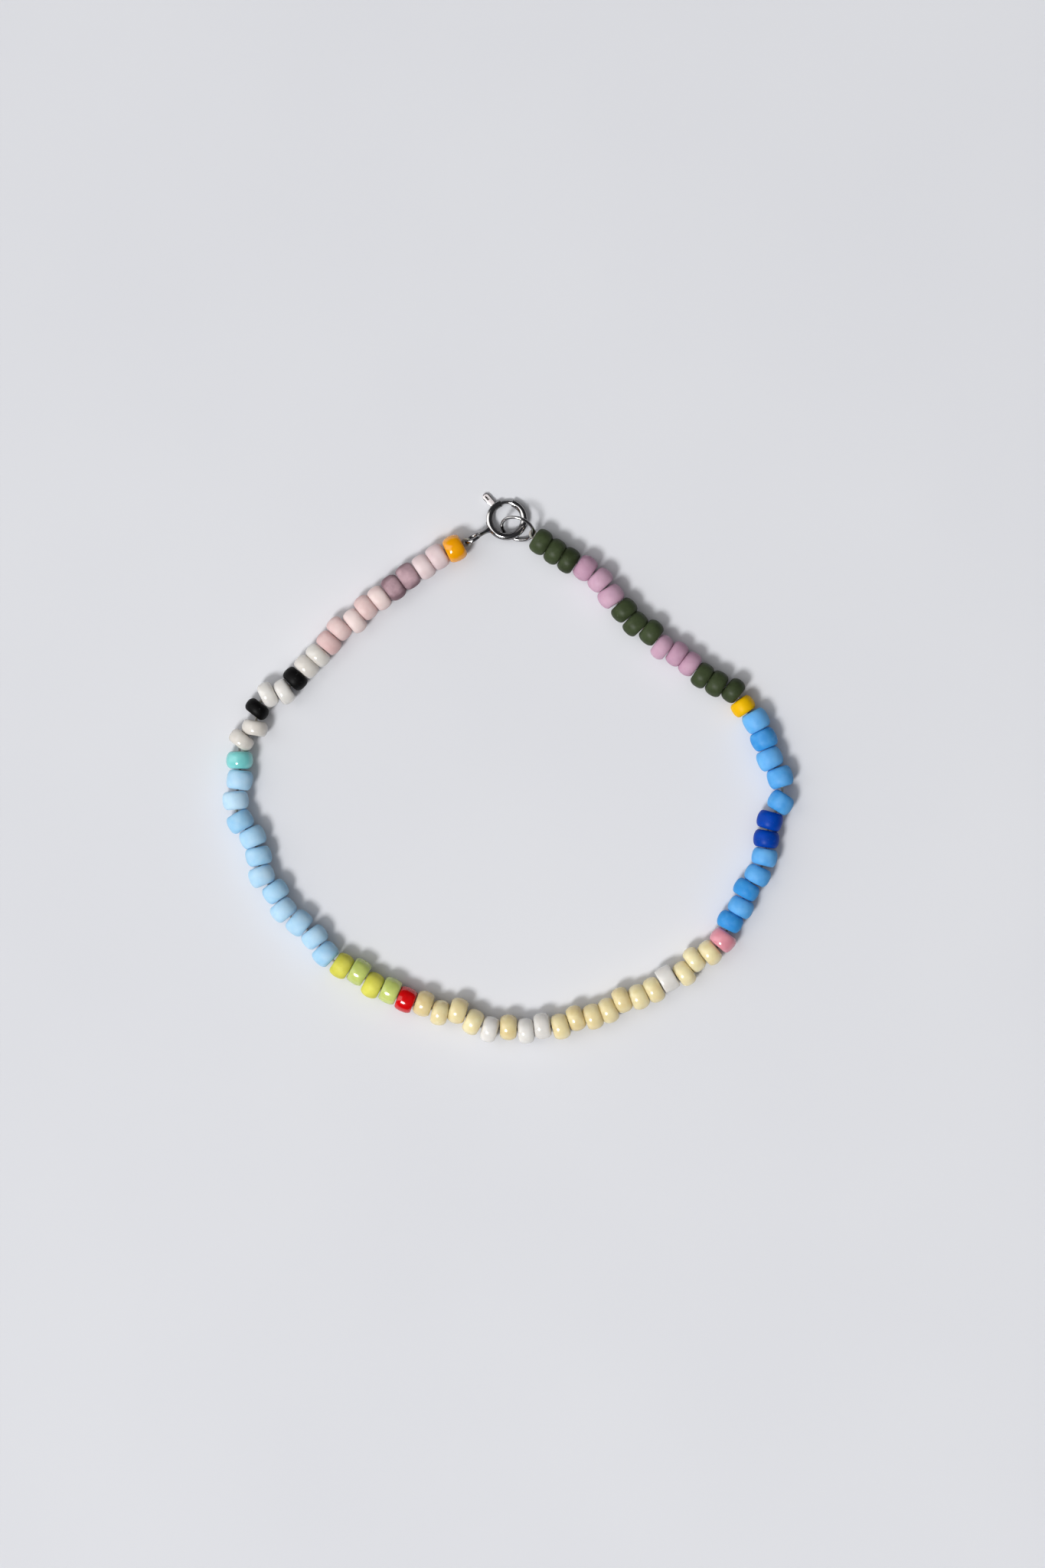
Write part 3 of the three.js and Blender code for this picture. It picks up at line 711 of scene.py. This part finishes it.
# %% [markdown]
# ## The trigger
# The trigger is the small tab that a fingernail draws the gate back by. It is stamped from sheet: a
# paddle with a round end, a narrower root, a domed top and a groove pressed into it. One face has
# that outline. Extruding it gives the sheet's thickness, and three raised insets dome the top. A
# plane cuts the top across, and a sunk inset of its outer part makes the groove. The top is left
# white from the acid bath, so it is dull and bright, while the cut edge and the pressed groove are
# bare and mirror the dark room. An attribute, polish, tells them apart.

# %% Stamp the trigger
TRIGGER_REACH = 1.58 * MM
TRIGGER_ROOT = 0.33 * MM
TIP_POINTS = 20
TIP_SWEEP = math.radians(205)
DOME_STEPS = [(0.08 * MM, 0.02 * MM), (0.05 * MM, 0.03 * MM), (0.1 * MM, 0.015 * MM)]
GROOVE_START = 3.1 * MM
GROOVE_BORDER = 0.07 * MM
GROOVE_WALL, GROOVE_DEPTH = 0.04 * MM, 0.12 * MM
LEVEL = GROOVE_WALL / 10

half = TRIGGER_WIDTH / 2
tip_middle = RING_RADIUS + TUBE_RADIUS + TRIGGER_REACH - half
low = -TRIGGER_THICKNESS / 2
bm = bmesh.new()
outline = [bm.verts.new((RING_RADIUS, -TRIGGER_ROOT, low))]
for i in range(TIP_POINTS + 1):
    angle = TIP_SWEEP * (i / TIP_POINTS - 0.5)
    place = (tip_middle + half * math.cos(angle), half * math.sin(angle), low)
    outline.append(bm.verts.new(place))
outline.append(bm.verts.new((RING_RADIUS, TRIGGER_ROOT, low)))
sheet = bm.faces.new(outline)
raised = bmesh.ops.extrude_face_region(bm, geom=[sheet])["geom"]
top = [vert for vert in raised if isinstance(vert, bmesh.types.BMVert)]
dome = sum(height for _, height in DOME_STEPS)
bmesh.ops.translate(bm, vec=(0, 0, TRIGGER_THICKNESS - dome), verts=top)
lid = [face for face in raised if isinstance(face, bmesh.types.BMFace)]
polish = bm.verts.layers.float.new("polish")
for vert in bm.verts:
    vert[polish] = 1
for step, (width, height) in enumerate(DOME_STEPS):
    bmesh.ops.inset_region(bm, faces=lid, thickness=width, depth=height)
    for vert in {vert for face in lid for vert in face.verts}:
        vert[polish] = 1 if step == 0 else 0
lid_edges = [edge for face in lid for edge in face.edges]
lid_verts = [vert for face in lid for vert in face.verts]
bmesh.ops.bisect_plane(
    bm, geom=lid + lid_edges + lid_verts, plane_co=(GROOVE_START, 0, 0), plane_no=(1, 0, 0)
)
highest = max(vert.co.z for vert in bm.verts)
groove = []
for face in bm.faces:
    middle = face.calc_center_median()
    if middle.z > highest - LEVEL and middle.x > GROOVE_START:
        groove.append(face)
bmesh.ops.inset_region(bm, faces=groove, thickness=GROOVE_BORDER)
bmesh.ops.inset_region(bm, faces=groove, thickness=GROOVE_WALL, depth=-GROOVE_DEPTH)
for vert in {vert for face in groove for vert in face.verts}:
    vert[polish] = 1
print("The groove has", len(groove), "face")
bm.transform(ring_place @ Matrix.Rotation(math.radians(TRIGGER_ANGLE), 4, "Z"))


ACID_GRAIN, ACID_HEIGHT = 0.12 * MM, 0.006 * MM


def whitened_silver():
    material, tree, shader, place = new_material("whitened_silver")
    bare = attribute(tree, "polish")
    grain = noise(tree, place, ACID_GRAIN, 3.0)
    connect(shader, Base_Color=mix(tree, bare, plain("fbf3f4"), plain("c8c4c2")))
    connect(shader, Metallic=0.3 + bare * 0.7)
    connect(shader, Roughness=(0.42 - bare * 0.3 + (grain - 0.5) * 0.1).clamped())
    connect(shader, Normal=bump(tree, grain * ACID_HEIGHT, METAL_BUMP))
    return material


trigger = make_piece(bm, "clasp_trigger", "trigger", "trigger_gate", whitened_silver())
round_edges(trigger)
print("The trigger stands", TRIGGER_REACH / MM, "mm out of its slot")

# %% [markdown]
# ## The jump ring
# The string's other end is tied to a plain wire ring, which hangs in the spring ring. A jump ring
# is never closed for good: its two cut ends meet at a fine seam. The ring leans, so its middle and
# the way it faces are worked out from its solid: a plane and then a circle are fitted to its points.

# %% Fit and make the jump ring
JUMP_WIRE = 0.19 * MM
JUMP_SEAM = 2
JUMP_SIDES, JUMP_STEPS = 20, 110


def fitted_circle(node):
    """The middle, radius and normal of the circle that a wire ring's points lie nearest to."""
    places = np.array([v.co for v in frame["nodes"][node].data.vertices])
    centre = places.mean(axis=0)
    along, across, normal = np.linalg.svd(places - centre, full_matrices=False)[2]
    flat = (places - centre) @ np.array([along, across]).T
    known = np.c_[2 * flat, np.ones(len(flat))]
    x, y, rest = np.linalg.lstsq(known, (flat**2).sum(axis=1), rcond=None)[0]
    middle = Vector(centre + x * along + y * across)
    return middle, math.sqrt(rest + x * x + y * y), Vector(normal)


jump_middle, jump_radius, jump_normal = fitted_circle("jump_ring")
if jump_normal.z < 0:
    jump_normal.negate()
jump_out = UP.cross(jump_normal).normalized()
if jump_out.dot(string[-1]["middle"] - jump_middle) < 0:
    jump_out.negate()
jump_side = jump_normal.cross(jump_out)
jump_place = Matrix((jump_out, jump_side, jump_normal)).transposed().to_4x4()
jump_place.translation = jump_middle
jump_end = jump_middle + jump_out * jump_radius

bm = bmesh.new()
seam_end, seam_start = 180 + JUMP_SEAM / 2, 540 - JUMP_SEAM / 2
bend_wire(bm, JUMP_WIRE, JUMP_SIDES, jump_radius, seam_end, seam_start, JUMP_STEPS)
bm.transform(jump_place)
jump = make_piece(bm, "jump_ring_wire", "bracelet", "jump_ring", metal)
round_edges(jump)
print("The jump ring is", round(2 * (jump_radius + JUMP_WIRE) / MM, 2), "mm across")

# %% [markdown]
# ## The thread
# One thread runs through all the beads. At each end it leaves the last bead, goes round the clasp's
# wire and comes back beside itself. A curve with a round bevel is the quickest smooth tube along
# such a route. It is made a mesh at once, so that its place is in its points.

# %% Run the thread
THREAD = 0.15 * MM
THREAD_GAP = 0.07 * MM
STRAND_APART = 0.2 * MM
TAIL = 1.7 * MM
THREAD_ROUNDNESS, THREAD_SMOOTHNESS = 3, 6
FIBRE, FIBRE_HEIGHT = 0.06 * MM, 0.01 * MM
THREAD_BUMP = 0.6


def loop_round(bead, outward, wire_point, wire_line, wire_radius):
    """The thread's points at one end: out of a bead, round a wire and back in."""
    face = bead["middle"] + outward * (bead["length"] / 2)
    inside = face - outward * TAIL
    towards = (wire_point - face).normalized()
    side = wire_line.cross(towards).normalized()
    turn = wire_radius + THREAD + THREAD_GAP
    corner = turn * math.sqrt(0.5)
    hole_side = (side - outward * side.dot(outward)).normalized() * STRAND_APART
    return [
        inside + hole_side,
        face + hole_side,
        wire_point + side * turn,
        wire_point + side * corner + towards * corner,
        wire_point + towards * turn,
        wire_point - side * corner + towards * corner,
        wire_point - side * turn,
        face - hole_side,
        inside - hole_side,
    ]


start = loop_round(string[0], -string[0]["axis"], eye_end, eye_line, EYE_WIRE)
finish = loop_round(string[-1], string[-1]["axis"], jump_end, jump_side, JUMP_WIRE)
route = start + [bead["middle"] for bead in string[1:-1]] + finish
curve = bpy.data.curves.new("thread_line", "CURVE")
curve.dimensions = "3D"
curve.bevel_depth = THREAD
curve.bevel_resolution = THREAD_ROUNDNESS
curve.resolution_u = THREAD_SMOOTHNESS
curve.use_fill_caps = True
spline = curve.splines.new("BEZIER")
spline.bezier_points.add(len(route) - 1)
for point, place in zip(spline.bezier_points, route):
    point.co = place
    point.handle_left_type = "AUTO"
    point.handle_right_type = "AUTO"
line = bpy.data.objects.new("thread_line", curve)
bpy.context.scene.collection.objects.link(line)
bpy.context.view_layer.update()
graph = bpy.context.evaluated_depsgraph_get()
thread_mesh = bpy.data.meshes.new_from_object(line.evaluated_get(graph))
bpy.data.objects.remove(line)
thread_mesh.materials.clear()
for polygon in thread_mesh.polygons:
    polygon.use_smooth = True


def thread_finish():
    material, tree, shader, place = new_material("beading_thread")
    fibre = noise(tree, place, FIBRE, 3.0)
    connect(shader, Base_Color=mix(tree, fibre, plain("8a857c"), plain("c2bfb8")))
    connect(shader, Roughness=(0.3 + fibre * 0.25).clamped())
    connect(shader, Normal=bump(tree, fibre * FIBRE_HEIGHT, THREAD_BUMP))
    shader.inputs["Subsurface Weight"].default_value = 0.3
    shader.inputs["Subsurface Scale"].default_value = 0.2 * MM
    return material


place_piece(thread_mesh, "beading_thread", "bracelet", "thread", thread_finish())
print("The thread has", len(route), "points")

# %% [markdown]
# ## The table and the light
# The table is plain and pale. The main light is a soft lamp at the lower left of the frame, a good
# fifty degrees up, which puts short shadows to the upper right and a small highlight on each glossy
# bead. A wide ceiling light fills them in. It is kept out of reflections, so the silver mirrors a
# dark room with one window at the left, and that is what gives it its dark bands. The lamp has a
# pale shade round it, which is seen in reflections only and makes the highlights a little larger.

# %% Floor
FLOOR_REACH = 0.6
FLOOR_DRIFT = 40 * MM
FLOOR_ROUGH = 0.9

bm = bmesh.new()
bmesh.ops.create_grid(bm, x_segments=1, y_segments=1, size=FLOOR_REACH)
floor_mesh = bpy.data.meshes.new("table")
bm.to_mesh(floor_mesh)
bm.free()
floor = bpy.data.objects.new("table", floor_mesh)
bpy.context.scene.collection.objects.link(floor)
floor_material, tree, shader, place = new_material("table_top")
drift = noise(tree, place, FLOOR_DRIFT, 2.0)
connect(shader, Base_Color=mix(tree, drift, plain("dddee3"), plain("e3e4e8")))
shader.inputs["Roughness"].default_value = FLOOR_ROUGH
floor_mesh.materials.append(floor_material)

# %% Lights
LAMP_DISTANCE = 2.5
LAMP_ELEVATION = math.radians(54)
LAMP_TOWARDS = Vector((-0.61, -0.79, 0)).normalized()
LAMP_SIZE = 0.62
LAMP_POWER = 40
SHADE_SIZE, SHADE_POWER, SHADE_BEHIND = 0.85, 24, 0.05
CEILING_HEIGHT, CEILING_SIZE, CEILING_POWER = 2.5, 5.0, 28
WINDOW_TOWARDS = Vector((-0.98, 0.2, 0)).normalized()
WINDOW_HALF, WINDOW_EDGE = 0.12, 30.0
WINDOW_FROM, WINDOW_FADE = 0.3, 8.0
ROOM_STRENGTH = 1.5


def disk_light(name, size, power, place):
    """A round light at a place, facing the origin."""
    data = bpy.data.lights.new(name, "AREA")
    data.shape = "DISK"
    data.size = size
    data.energy = power
    light = bpy.data.objects.new(name, data)
    light.location = place
    light.rotation_euler = place.to_track_quat("Z", "Y").to_euler()
    bpy.context.scene.collection.objects.link(light)
    return light


direction = LAMP_TOWARDS * math.cos(LAMP_ELEVATION) + UP * math.sin(LAMP_ELEVATION)
lamp = disk_light("lamp", LAMP_SIZE, LAMP_POWER, direction * LAMP_DISTANCE)
shade = disk_light("shade", SHADE_SIZE, SHADE_POWER, direction * (LAMP_DISTANCE + SHADE_BEHIND))
shade.visible_diffuse = False
ceiling = disk_light("ceiling", CEILING_SIZE, CEILING_POWER, UP * CEILING_HEIGHT)
ceiling.visible_glossy = False

world = bpy.data.worlds.new("surroundings")
bpy.context.scene.world = world
world.use_nodes = True
tree = world.node_tree
sky = tree.nodes["Background"]
facing = Signal.node(tree, "ShaderNodeTexCoord", output="Generated")


def nearness(direction):
    """How nearly the sky's point lies in a direction, 1 being right in it."""
    return dot(tree, facing, direction)


beside = nearness(UP.cross(WINDOW_TOWARDS))
across = ((WINDOW_HALF - beside * beside) * WINDOW_EDGE).clamped()
window = across * ((nearness(WINDOW_TOWARDS) - WINDOW_FROM) * WINDOW_FADE).clamped()
tree.links.new(mix(tree, window, plain("242426"), plain("ffffff")).socket, sky.inputs["Color"])
sky.inputs["Strength"].default_value = ROOM_STRENGTH
print("The lamp is at", [round(c, 2) for c in lamp.location])

# %% [markdown]
# ## Finishing
# The view layer is brought up to date, so that every piece stands where it was put.

# %% Finish
bpy.context.view_layer.update()
